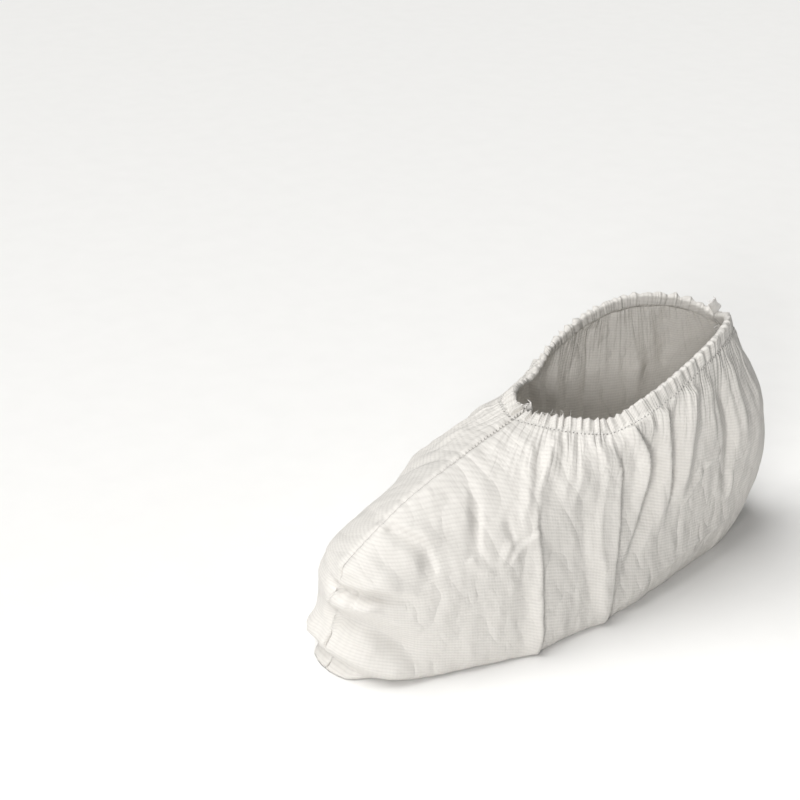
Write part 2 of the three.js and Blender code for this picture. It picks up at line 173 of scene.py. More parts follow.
# ---------------------------------------------------------------- folds
# A fold is a crest line drawn on the panel with how the cloth rises or sinks beside it.
# Columns: path of (u, v) points; height (mm, below 0 is a valley); front and back run-out (mm):
# front is the toe side of a fold drawn downwards, and the lower side of one drawn heelwards;
# power (1 flat facets meeting in a crest, 2 a fine raised line, 0 a soft swell);
# lean (mm, how far the crest is pushed over towards its back); ends (share of the length over
# which it grows and dies).
RIGHT_FOLDS = [
    # the tall tuck at the ball of the foot, its trough and its spread over the floor
    dict(path=[(.12, .03), (.22, .15), (.30, .26), (.36, .36),
               (.405, .47), (.43, .58), (.442, .70), (.44, .82)],
         height=2.9, front=9, back=3.6, power=1, lean=.8, ends=(.45, .12)),
    dict(path=[(.385, .40), (.41, .52), (.422, .64), (.425, .77)],
         height=-1.7, front=13, back=6, power=0, lean=0, ends=(.35, .15)),
    dict(path=[(.43, .54), (.44, .66), (.44, .80), (.44, .86)],
         height=3.0, front=34, back=30, power=1, lean=0, ends=(.6, .1)),
    dict(path=[(.10, .03), (.19, .12), (.26, .22), (.33, .34), (.385, .46)],
         height=1.5, front=10, back=5, power=1, lean=0, ends=(.15, .4)),
    # the branch that joins it from the hem
    dict(path=[(.19, .02), (.245, .13), (.305, .25), (.35, .32), (.40, .43)],
         height=2.0, front=4, back=6, power=1, lean=.5, ends=(.1, .35)),
    dict(path=[(.16, .05), (.23, .16), (.285, .24), (.335, .32), (.385, .43)],
         height=-1.8, front=4, back=4, power=1, lean=0, ends=(.2, .4)),
    dict(path=[(.40, .36), (.45, .47), (.475, .58), (.48, .68)],
         height=-1.4, front=14, back=18, power=0, lean=0, ends=(.4, .5)),
    # the second tuck, halfway along: two crests that meet in a point at the floor
    dict(path=[(.33, .04), (.40, .13), (.455, .24), (.495, .36),
               (.52, .48), (.54, .59), (.56, .71), (.568, .82)],
         height=2.2, front=4.5, back=6, power=1, lean=0, ends=(.15, .30)),
    dict(path=[(.36, .03), (.43, .14), (.49, .26), (.53, .385),
               (.552, .50), (.562, .60), (.568, .70), (.57, .82)],
         height=2.9, front=9, back=3.6, power=1, lean=.8, ends=(.25, .16)),
    dict(path=[(.54, .50), (.565, .64), (.57, .80), (.57, .86)],
         height=1.9, front=26, back=34, power=1, lean=0, ends=(.6, .1)),
    dict(path=[(.445, .30), (.48, .42), (.505, .54), (.53, .66), (.55, .76)],
         height=-1.7, front=8, back=5, power=1, lean=0, ends=(.4, .3)),
    dict(path=[(.28, .01), (.34, .12), (.395, .23), (.43, .34), (.455, .45)],
         height=1.2, front=4, back=5, power=1, lean=0, ends=(.1, .4)),
    # third fold and the shaded trough behind it
    dict(path=[(.42, .01), (.48, .11), (.535, .22), (.57, .34), (.588, .45), (.59, .56)],
         height=4.2, front=6, back=3.0, power=1, lean=.8, ends=(.06, .4)),
    dict(path=[(.46, .06), (.54, .18), (.585, .30), (.607, .42), (.612, .53), (.60, .63), (.588, .72)],
         height=-4.4, front=6, back=8, power=1, lean=0, ends=(.2, .35)),
    dict(path=[(.53, .02), (.565, .13), (.60, .25), (.632, .38), (.65, .49), (.655, .60)],
         height=3.8, front=6, back=3, power=1, lean=.5, ends=(.08, .35)),
    dict(path=[(.575, .03), (.60, .15), (.628, .27), (.65, .38)],
         height=-2.3, front=4, back=4, power=1, lean=0, ends=(.2, .4)),
    dict(path=[(.62, .02), (.64, .12), (.655, .24), (.672, .37), (.68, .47), (.69, .57)],
         height=4.4, front=8, back=9, power=1.2, lean=0, ends=(.1, .35)),
    dict(path=[(.64, .33), (.655, .44), (.66, .54)],
         height=-2.1, front=3, back=5, power=1, lean=0, ends=(.4, .4)),
    # heel folds
    dict(path=[(.745, .05), (.77, .18), (.79, .31), (.797, .41), (.795, .52), (.80, .60)],
         height=-3.9, front=10, back=5, power=1, lean=0, ends=(.3, .4)),
    dict(path=[(.79, .03), (.81, .16), (.825, .30), (.83, .42), (.84, .54)],
         height=2.6, front=4, back=8, power=1, lean=0, ends=(.2, .4)),
    dict(path=[(.69, .03), (.715, .17), (.735, .30), (.76, .42)],
         height=2.3, front=8, back=4, power=1, lean=0, ends=(.2, .4)),
    dict(path=[(.865, .03), (.875, .16), (.885, .30), (.88, .42)],
         height=2.1, front=5, back=5, power=1, lean=0, ends=(.2, .4)),
    dict(path=[(.725, .45), (.772, .415)],
         height=2.2, front=2.2, back=3.6, power=1, lean=0, ends=(.4, .4)),
    dict(path=[(.80, .50), (.81, .62)],
         height=2.3, front=2.2, back=4.0, power=1, lean=0, ends=(.3, .4)),
    dict(path=[(.73, .45), (.71, .485), (.69, .54)],
         height=2.1, front=4, back=2.4, power=1, lean=0, ends=(.3, .4)),
    # the side turns under here and leaves a long crest
    dict(path=[(.575, .72), (.62, .714), (.66, .702), (.72, .682), (.78, .672), (.84, .668), (.90, .66)],
         height=2.6, front=20, back=18, power=1, lean=0, ends=(.25, .25)),
    dict(path=[(.655, .706), (.70, .690), (.75, .676), (.80, .671), (.85, .666)],
         height=1.1, front=2.4, back=4, power=1, lean=0, ends=(.2, .3)),
    dict(path=[(.62, .40), (.64, .50), (.645, .60)],
         height=1.4, front=3, back=4, power=1, lean=0, ends=(.3, .4)),
    # dimples between instep and toe cap
    dict(path=[(.07, .25), (.15, .297), (.19, .325), (.235, .38), (.29, .465), (.325, .50)],
         height=-1.9, front=8, back=3.0, power=1, lean=0, ends=(.35, .3)),
    dict(path=[(.08, .26), (.14, .31), (.20, .37), (.27, .47)],
         height=1.3, front=10, back=4, power=1, lean=0, ends=(.35, .4)),
    dict(path=[(.28, .34), (.335, .405), (.36, .46)],
         height=-1.8, front=4, back=2.6, power=1, lean=0, ends=(.4, .3)),
    dict(path=[(.345, .42), (.352, .47), (.358, .54)],
         height=1.4, front=4, back=3, power=1, lean=0, ends=(.3, .3)),
    dict(path=[(.405, .40), (.385, .45), (.372, .50), (.362, .56)],
         height=1.2, front=3, back=5, power=1, lean=0, ends=(.3, .3)),
    dict(path=[(.27, .47), (.29, .49), (.325, .52), (.355, .535)],
         height=1.4, front=5, back=4, power=1, lean=0, ends=(.3, .3)),
]
LEFT_FOLDS = [
    dict(path=[(.22, .20), (.30, .31), (.36, .42), (.40, .54), (.42, .66), (.42, .80), (.42, .86)],
         height=4.6, front=24, back=16, power=1, lean=0, ends=(.35, .12)),
    dict(path=[(.27, .27), (.33, .36), (.38, .48), (.41, .60), (.42, .70), (.42, .79)],
         height=2.6, front=8, back=3.0, power=1, lean=.8, ends=(.3, .1)),
    dict(path=[(.14, .02), (.21, .13), (.27, .25), (.32, .31), (.37, .39)],
         height=2.4, front=8, back=9, power=1.1, lean=0, ends=(.1, .3)),
    dict(path=[(.30, .05), (.37, .16), (.44, .28), (.49, .40),
               (.52, .52), (.54, .66), (.54, .80), (.54, .86)],
         height=3.8, front=20, back=14, power=1, lean=0, ends=(.3, .12)),
    dict(path=[(.36, .03), (.42, .14), (.48, .25), (.53, .39), (.56, .50)],
         height=-2.8, front=6, back=8, power=1, lean=0, ends=(.2, .4)),
    dict(path=[(.48, .01), (.52, .12), (.57, .25), (.61, .38), (.63, .50), (.64, .66), (.64, .80)],
         height=3.4, front=9, back=7, power=1.2, lean=.8, ends=(.06, .25)),
    dict(path=[(.56, .02), (.60, .15), (.635, .28), (.66, .40), (.67, .52)],
         height=-2.8, front=6, back=8, power=1, lean=0, ends=(.2, .4)),
    dict(path=[(.66, .02), (.69, .15), (.715, .28), (.73, .42), (.74, .56)],
         height=2.8, front=9, back=8, power=1.2, lean=0, ends=(.1, .35)),
    dict(path=[(.78, .05), (.80, .18), (.82, .31), (.825, .41), (.83, .52)],
         height=-3.0, front=9, back=7, power=1, lean=0, ends=(.3, .4)),
    dict(path=[(.85, .04), (.86, .17), (.87, .30), (.87, .42)],
         height=2.0, front=6, back=8, power=1, lean=0, ends=(.2, .4)),
    dict(path=[(.60, .71), (.66, .70), (.72, .682), (.78, .672), (.84, .668), (.90, .66)],
         height=3.0, front=20, back=22, power=1, lean=0, ends=(.25, .25)),
    dict(path=[(.05, .22), (.12, .26), (.20, .33), (.27, .42)],
         height=-2.0, front=6, back=9, power=1, lean=0, ends=(.35, .4)),
    dict(path=[(.10, .12), (.16, .18), (.24, .30)],
         height=1.6, front=5, back=7, power=1, lean=0, ends=(.3, .4)),
    # the corner of the toe that sticks out on this side
    dict(path=[(.03, .715), (.07, .712), (.10, .712), (.14, .722)],
         height=4.0, front=7, back=7, power=1, lean=0, ends=(.4, .4)),
]
# folds that cross the toe seam, the same on both panels
TOE_FOLDS = [
    # the crease over the toe cap
    dict(path=[(.0, .455), (.055, .446), (.10, .443), (.147, .455), (.18, .48), (.21, .51), (.23, .55)],
         height=-2.8, front=8, back=3.4, power=1, lean=0, ends=(.1, .3)),
    dict(path=[(.03, .430), (.07, .424), (.11, .420), (.15, .424), (.19, .445)],
         height=1.5, front=4, back=7, power=1, lean=0, ends=(.3, .4)),
    # the crushed toe: a pursed line, a trough and a roll over the floor
    dict(path=[(.0, .628), (.05, .620), (.085, .613), (.12, .602), (.163, .597), (.20, .598), (.25, .605)],
         height=-5.8, front=5, back=4, power=1, lean=0, ends=(.02, .6)),
    dict(path=[(.0, .585), (.045, .572), (.09, .580), (.13, .578), (.18, .578), (.23, .585)],
         height=2.4, front=5, back=14, power=1, lean=0, ends=(.02, .5)),
    dict(path=[(.0, .648), (.04, .647), (.08, .640), (.12, .634), (.155, .64)],
         height=4.4, front=8, back=5, power=1, lean=0, ends=(.02, .4)),
    dict(path=[(.03, .60), (.055, .63), (.07, .66)],
         height=-1.8, front=3, back=3, power=1, lean=0, ends=(.3, .3)),
    dict(path=[(.0, .683), (.077, .672), (.13, .678), (.175, .692), (.225, .703), (.29, .715)],
         height=-6.2, front=8, back=13, power=1, lean=0, ends=(.02, .45)),
    dict(path=[(.0, .722), (.06, .722), (.118, .732), (.177, .742), (.24, .752), (.33, .762)],
         height=5.4, front=10, back=8, power=1, lean=0, ends=(.02, .45)),
    dict(path=[(.0, .752), (.04, .755), (.08, .758), (.12, .765)],
         height=-2.0, front=3, back=4, power=1, lean=0, ends=(.02, .4)),
    dict(path=[(.0, .79), (.03, .785), (.06, .78), (.09, .775), (.13, .77)],
         height=5.0, front=16, back=7, power=1, lean=0, ends=(.02, .5)),
]


def fold_shift(fold, points):
    """How one fold moves each point (mm), worked out from its distance to the crest line."""
    path = np.array(fold["path"], float)
    stations = np.linspace(0, 1, len(path))
    fine = np.linspace(0, 1, 8 * (len(path) - 1) + 1)
    crest_uv = cubic(
        stations,
        np.broadcast_to(path[:, None, :], (len(path), len(fine), 2)),
        np.broadcast_to(slopes_through(stations, path)[:, None, :], (len(path), len(fine), 2)),
        fine,
    )
    crest_uv = np.clip(crest_uv, 0, 1)
    crest = plain_cloth(crest_uv[:, 0], crest_uv[:, 1])
    normals = cloth_normal(crest_uv[:, 0], crest_uv[:, 1])
    reach = max(fold["front"], fold["back"])
    shift = np.zeros_like(points)
    near = np.all((points > crest.min(0) - reach) & (points < crest.max(0) + reach), axis=1)
    if not near.any():
        return shift
    here = points[near]
    best = np.full(len(here), 1e9)
    across = np.zeros(len(here))
    share = np.zeros(len(here))
    side = np.zeros_like(here)
    lift = np.zeros_like(here)
    for i in range(len(crest) - 1):
        run = crest[i + 1] - crest[i]
        t = np.clip(((here - crest[i]) @ run) / (run @ run), 0, 1)
        foot = crest[i] + t[:, None] * run
        gap = here - foot
        distance = np.linalg.norm(gap, axis=1)
        closer = distance < best
        normal = unit(normals[i] + normals[i + 1])
        toward_front = unit(np.cross(unit(run), normal))
        best[closer] = distance[closer]
        across[closer] = (distance * np.sign(gap @ toward_front))[closer]
        share[closer] = ((i + t) / (len(crest) - 1))[closer]
        side[closer] = toward_front
        lift[closer] = normal
    width = np.where(across > 0, fold["front"], fold["back"])
    nearness = np.clip(1 - np.abs(across) / width, 0, 1)
    profile = smooth(nearness) if fold["power"] == 0 else nearness ** fold["power"]
    grow, die = fold["ends"]
    taper = smooth(share / grow) * smooth((1 - share) / die)
    amount = (profile * taper)[:, None]
    shift[near] = fold["height"] * amount * lift - fold["lean"] * amount**2 * side
    return shift


def pleats(rng, count, u, spread=0.45):
    """Irregular pleats along the hem: height 0 to 1 at each u, and which pleat each u lies in."""
    steps = 1 + spread * (2 * rng.random(count) - 1)
    bounds = np.concatenate([[0], np.cumsum(steps)]) / steps.sum()
    index = np.clip(np.searchsorted(bounds, u, side="right") - 1, 0, count - 1)
    place = (u - bounds[index]) / (bounds[index + 1] - bounds[index])
    crest = (0.3 + 0.4 * rng.random(count))[index]
    rise = np.where(place < crest, place / crest, (1 - place) / (1 - crest))
    return np.clip(rise, 0, 1), index


def crumple(rng, s, t, cell):
    """Paper-like crumpling, -1 to 1: shallow bowls and domes that meet in crisp creases."""
    def bowls(shift):
        columns, rows = int(np.ptp(s) / cell) + 5, int(np.ptp(t) / cell) + 5
        offset = rng.random((columns, rows, 2))
        weight = 0.55 * rng.random((columns, rows))
        a = (s - s.min()) / cell + 2 + shift
        b = (t - t.min()) / cell + 2 + shift
        i, j = np.floor(a).astype(int), np.floor(b).astype(int)
        lowest = np.full(s.shape, 1e9)
        for di in (-1, 0, 1):
            for dj in (-1, 0, 1):
                p = np.clip(i + di, 0, columns - 1)
                q = np.clip(j + dj, 0, rows - 1)
                gap = (a - p - offset[p, q, 0]) ** 2 + (b - q - offset[p, q, 1]) ** 2
                lowest = np.minimum(lowest, gap + weight[p, q])
        return lowest
    return bowls(0.0) - bowls(0.5)


# ---------------------------------------------------------------- the two panels
PLEAT_COUNT = 42  # fine gathers along each panel's hem
PUCKER_COUNT = 15  # the larger folds that the gathers run together into
RUFFLE_COUNT = 36  # ruffles of the casing above the stitches
PLEAT_HEIGHT = 1.35
PUCKER_HEIGHT = 1.7
# crumpling of two sizes: the long way of the sheet, and across it on the slant
LARGE_CELL, LARGE_HEIGHT = 19.0, 0.75
SMALL_CELL, SMALL_HEIGHT = 8.5, 0.28
SLANT = 0.35
# depth of the seam's groove at the hem, and how much of it is lost over the instep
GROOVE_DEPTH, GROOVE_LOSS = 0.7, 0.45
# the turned hem: shares of its cut where the inner leg and the fold over the top end
INNER_LEG_END, FOLD_END = 0.34, 0.50
INNER_SWING, OUTER_SWING = -0.4, 1.0  # how far the ruffles push each leg outwards
# clear of the elastic between the hem's legs: the inner one lies at least the first distance in
# from the stitch line, and the outer one at most the second
INSIDE_ELASTIC, OUTSIDE_ELASTIC = 2.95, 0.8


def panel_grid():
    """u and v of the cloth's mesh below the stitch line, as (rows, columns) arrays."""
    u = np.linspace(0, 1, COLUMNS_ROUND + 1)
    v = [0.0]
    for (start, _), (end, rows) in zip(ROWS_DOWN, ROWS_DOWN[1:]):
        v.extend(start + (end - start) * (row + 1) / rows for row in range(rows))
    return np.meshgrid(u, np.array(v))


def run_down(steps):
    """Lengths added up from the hem's stitch line downwards."""
    return np.vstack([np.zeros((1, steps.shape[1])), np.cumsum(steps, axis=0)])


def weave_map(plain, v):
    """Where each point lies on the sheet, along and across its ribs, and its height on the sheet."""
    climb = run_down(np.hypot(np.diff(plain[..., 0], axis=0), np.diff(plain[..., 2], axis=0)))
    sole_row = int(np.argmin(np.abs(v[:, 0] - SOLE_V)))
    height = climb[sole_row] - climb
    along = plain[..., 1]
    # the ribs droop towards the heel and open out over the toe
    drop = 0.3 * np.minimum(along, 20) + 0.3 * 35 * (1 - np.exp(-np.maximum(along - 20, 0) / 35))
    over_toe = 1 + 0.3 * np.exp(-(((along + 150) / 45) ** 2))
    return np.stack([along, height * over_toe + drop], axis=-1), height


def all_folds(folds, plain, v, side):
    """How far the folds in the tables move each point."""
    points = plain.reshape(-1, 3)
    shift = sum(fold_shift(fold, points) for fold in folds)
    toe_shift = sum(fold_shift(fold, points) for fold in TOE_FOLDS)
    if side < 0:  # on the left the upper toe folds die out soon after the seam
        lost = smooth(np.abs(points[:, :1]) / 13) * smooth((0.72 - v.reshape(-1, 1)) / 0.03)
        toe_shift *= 1 - 0.85 * lost
    shift = (shift + toe_shift).reshape(plain.shape)
    shift[..., 0] *= smooth(np.abs(plain[..., 0]) / 7 + (v >= 0.999))
    return shift


def gathers(rng, start_u, below_hem):
    """Gathers that start at the stitches and fade down the cloth, fine ones and broad ones."""
    fine, which = pleats(rng, PLEAT_COUNT, start_u)
    reach = (5 + 16 * rng.random(PLEAT_COUNT) ** 1.5)[which]
    swell = (0.6 + 0.7 * rng.random(PLEAT_COUNT))[which]
    start = 0.25 + 0.75 * smooth(below_hem / 3.5)
    lift = PLEAT_HEIGHT * swell * start * fine**0.8 * np.exp(-below_hem / reach)
    broad, which = pleats(rng, PUCKER_COUNT, start_u)
    reach = (22 + 45 * rng.random(PUCKER_COUNT))[which]
    swell = (0.3 + 0.9 * rng.random(PUCKER_COUNT))[which]
    rise = 0.35 + 0.65 * smooth(below_hem / 18)
    return lift + PUCKER_HEIGHT * swell * broad**1.1 * rise * np.exp(-((below_hem / reach) ** 1.6))


def wrinkles(rng, weave, height):
    """The crumpled feel of the sheet, calmer over the tight toe cap."""
    s, t = weave[..., 0], weave[..., 1]
    large = crumple(rng, s / 0.75, t / 1.5, LARGE_CELL)
    small = crumple(rng, (s + SLANT * t) / 0.8, (t - SLANT * s) / 1.3, SMALL_CELL)
    calm = 1 - 0.55 * np.exp(-(((s + 120) / 35) ** 2)) * smooth((height - 35) / 20)
    return calm * (LARGE_HEIGHT * large + SMALL_HEIGHT * small)


def drawn_in(u, v, from_seam, below_hem, along):
    """The seams draw the cloth in, and it puckers beside the stitches; faint from the instep down."""
    run = np.where(v < 0.999, below_hem, along)
    pucker = np.sin(run / 1.05 + 2.0 * np.sin(run / 7.3)) * np.sin(run / 2.9 + 1.0)
    depth = GROOVE_DEPTH - GROOVE_LOSS * smooth((below_hem - 35) / 35) * (u < 0.5)
    groove = -depth * np.exp(-((from_seam / 1.3) ** 2)) + 0.3 * pucker * np.exp(-from_seam / 4.5)
    ridge = 0.7 * depth * np.exp(-(((from_seam - 3.2) / 1.8) ** 2))
    return (groove + ridge) * (v > 0)


def panel_shape(folds, seed, side):
    """One panel's vertex places (rows, columns, 3), on the +X side, and its three cloth maps (mm)."""
    rng = np.random.default_rng(seed)
    u, v = panel_grid()
    plain = plain_cloth(u, v)
    normal = cloth_normal(u, v)
    from_seam = np.abs(plain[..., 0])
    below_hem = run_down(np.linalg.norm(np.diff(plain, axis=0), axis=-1))
    start_u = np.clip(u - np.interp(u, *np.array(GATHER_LEAN).T) * v * (1 - 0.6 * v), 0, 1)

    weave, height = weave_map(plain, v)
    around = np.linalg.norm(np.diff(plain[0], axis=0), axis=-1)
    around = np.interp(start_u, u[0], np.concatenate([[0], np.cumsum(around)]))
    hem_map = np.stack([around, below_hem], axis=-1)
    off_seam = np.where(u < 0.5, from_seam, 60 + from_seam)
    seam_map = np.stack([below_hem, off_seam], axis=-1)

    shift = all_folds(folds, plain, v, side)
    lift = gathers(rng, start_u, below_hem)
    wrinkle = wrinkles(rng, weave, height)
    lift = (lift + wrinkle) * smooth(from_seam / 5 + (v >= 0.999))
    lift += drawn_in(u, v, from_seam, below_hem, plain[..., 1])

    off_floor = smooth((SOLE_V + 0.005 - v) / 0.05)
    shaped = plain + shift * smooth((0.9 - v) / 0.1)[..., None]
    shaped += (lift * off_floor)[..., None] * normal
    shaped[..., 2] += (0.25 + 0.5 * np.abs(wrinkle)) * (1 - off_floor)
    shaped[..., 2] = np.maximum(shaped[..., 2], CLOTH_THICKNESS + 0.05)

    hem = turned_hem(rng, plain[0], shaped[0] - plain[0], u[0])
    places = np.concatenate([hem, shaped])
    # the panels stand clear of each other along the seam, which strays a little over the instep
    places[..., 0] = np.maximum(places[..., 0] + SEAM_GAP, SEAM_GAP)
    sway = np.interp(v, *np.array(SEAM_SWAY).T) * (1 - smooth(from_seam / 45)) * (u < 0.5)
    places[HEM_ROWS:, :, 0] += side * sway

    maps = []
    for cloth_map, upwards in ((weave, 1), (hem_map, 1), (seam_map, 0)):
        above = np.repeat(cloth_map[:1], HEM_ROWS, axis=0)
        above[..., upwards] -= np.linspace(2 * HEM_HEIGHT, 1, HEM_ROWS)[:, None]
        maps.append(np.concatenate([above, cloth_map]))
    return places, maps


def hem_leg(share):
    """Height and distance inwards (mm) of the hem's cloth at a share of its cut, and its swing."""
    if share < INNER_LEG_END:
        rise = share / INNER_LEG_END
        inwards = 1.0 + (HEM_THICKNESS - 1.0) * smooth(rise * 2.5)
        return HEM_HEIGHT * rise - 1.0, inwards, INNER_SWING
    if share < FOLD_END:
        turn = (share - INNER_LEG_END) / (FOLD_END - INNER_LEG_END)
        height = HEM_HEIGHT - 1.0 + math.sin(math.pi * turn)
        inwards = HEM_THICKNESS / 2 * (1 + math.cos(math.pi * turn))
        return height, inwards, INNER_SWING + (OUTER_SWING - INNER_SWING) * turn
    fall = (share - FOLD_END) / (1 - FOLD_END)
    return (HEM_HEIGHT - 1.0) * (1 - fall), 0.0, OUTER_SWING


def turned_hem(rng, edge, moved, u):
    """The hem's rows, from the turned-in edge inside up over the fold to just above the stitches."""
    step = 2e-3
    round_hem = plain_cloth(np.minimum(u + step, 1), 0 * u) - plain_cloth(np.maximum(u - step, 0), 0 * u)
    round_hem[[0, -1]] = (1, 0, 0)
    out = cloth_normal(u, 0 * u)
    up = np.cross(out, unit(round_hem))
    up *= np.sign(up[:, 2:3])
    ruffle, which = pleats(rng, RUFFLE_COUNT, u)
    swell = (0.5 + 0.8 * rng.random(RUFFLE_COUNT))[which] * (1 + 0.8 * np.exp(-((u / 0.16) ** 2)))
    second, _ = pleats(rng, RUFFLE_COUNT + 9, u)
    tall = (ruffle - 0.45) * swell
    rows = []
    for share in np.linspace(0, 1, HEM_ROWS + 1)[:-1]:
        height, inwards, outer = hem_leg(share)
        rise = min(max(height / HEM_HEIGHT, 0.0), 1.0)
        pinch = smooth(rise / 0.35)
        crest = 1.0 + 0.12 * tall * rise + 0.05 * (second - 0.5) * rise
        in_out = outer * (1.8 * tall * pinch + 0.35 * (second - 0.5) * pinch + 0.25 * pinch)
        flare = 0.9 * tall * rise**2 + 0.5 * rise
        offset = in_out + flare - inwards
        if share < INNER_LEG_END and height > 0.5:
            offset = np.minimum(offset, -INSIDE_ELASTIC)
        elif share >= FOLD_END:
            offset = np.maximum(offset, -OUTSIDE_ELASTIC)
        place = edge + moved * (1 - smooth(rise / 0.15))
        rows.append(place + up * (height * crest)[:, None] + out * offset[:, None])
    return np.array(rows)


def cloth_object(name, places, maps, side):
    """A mesh grid shaped to the given places, mirrored for the left side, with its cloth maps in metres."""
    rows, columns = places.shape[:2]
    bm = bmesh.new()
    bmesh.ops.create_grid(bm, x_segments=columns - 1, y_segments=rows - 1, size=0.5)
    bm.verts.ensure_lookup_table()
    layers = [bm.loops.layers.uv.new(title) for title in ("weave", "hem", "seam")]
    column = [round((vert.co.x + 0.5) * (columns - 1)) for vert in bm.verts]
    row = [round((0.5 - vert.co.y) * (rows - 1)) for vert in bm.verts]
    placed = places[row, column] * np.array([side, 1, 1]) + FOOTPRINT_SHIFT
    for vert, place in zip(bm.verts, placed):
        vert.co = Vector(place * MM)
    on_cloth = [cloth_map[row, column] * MM for cloth_map in maps]
    for face in bm.faces:
        face.smooth = True
        for loop in face.loops:
            for layer, values in zip(layers, on_cloth):
                loop[layer].uv = values[loop.vert.index]
    bmesh.ops.recalc_face_normals(bm, faces=bm.faces)
    mesh = bpy.data.meshes.new(name)
    bm.to_mesh(mesh)
    bm.free()
    piece = bpy.data.objects.new(name, mesh)
    bpy.context.scene.collection.objects.link(piece)
    return piece


def face_outwards(piece, side):
    """Turn the panel's faces so that they look away from the boot."""
    mesh = piece.data
    outwards = sum(face.normal.x * side * face.area for face in mesh.polygons)
    if outwards < 0:
        mesh.flip_normals()


def thicken(piece):
    wall = piece.modifiers.new("cloth thickness", "SOLIDIFY")
    wall.thickness = CLOTH_THICKNESS * MM
    wall.offset = -1
    return piece


# ---------------------------------------------------------------- finishes
class Value:
    """A shader number: arithmetic on it adds the nodes that work it out."""

    def __init__(self, finish, socket):
        self.finish = finish
        self.socket = socket

    def _with(self, operation, *others):
        node = self.finish.node("ShaderNodeMath", {"operation": operation}, self, *others)
        return Value(self.finish, node.outputs[0])

    def __add__(self, other):
        return self._with("ADD", other)

    __radd__ = __add__

    def __mul__(self, other):
        return self._with("MULTIPLY", other)

    def __sub__(self, other):
        return self._with("SUBTRACT", other)

    def __rsub__(self, other):
        made = self.finish.node("ShaderNodeMath", {"operation": "SUBTRACT"}, other, self)
        return Value(self.finish, made.outputs[0])

    def __pow__(self, other):
        return self._with("POWER", other)

    def sine(self):
        return self._with("SINE")

    def size(self):
        return self._with("ABSOLUTE")

    def limited(self):
        node = self.finish.node("ShaderNodeClamp", {}, self, 0.0, 1.0)
        return Value(self.finish, node.outputs[0])


class Finish:
    """A material and the few ways in which this script adds nodes to it."""

    def __init__(self, name):
        self.material = bpy.data.materials.new(name)
        self.material.use_nodes = True
        self.tree = self.material.node_tree
        self.tree.nodes.clear()

    def node(self, kind, settings, *inputs, **named):
        made = self.tree.nodes.new(kind)
        for key, value in settings.items():
            setattr(made, key, value)
        pairs = list(enumerate(inputs)) + [(key.replace("_", " "), value) for key, value in named.items()]
        for key, value in pairs:
            socket = made.inputs[key]
            if isinstance(value, Value):
                self.tree.links.new(value.socket, socket)
            elif isinstance(value, bpy.types.NodeSocket):
                self.tree.links.new(value, socket)
            else:
                socket.default_value = value
        return made

    def blend(self, share, first, second):
        """Mix two colours."""
        made = self.tree.nodes.new("ShaderNodeMix")
        made.data_type = "RGBA"
        for key, value in ((0, share), (6, first), (7, second)):
            if isinstance(value, Value):
                self.tree.links.new(value.socket, made.inputs[key])
            elif isinstance(value, bpy.types.NodeSocket):
                self.tree.links.new(value, made.inputs[key])
            else:
                made.inputs[key].default_value = value
        return made.outputs[2]

    def speckle(self, where, scale, detail=2.0, roughness=0.5):
        made = self.node("ShaderNodeTexNoise", {}, where, Scale=scale, Detail=detail, Roughness=roughness)
        return Value(self, made.outputs["Fac"])


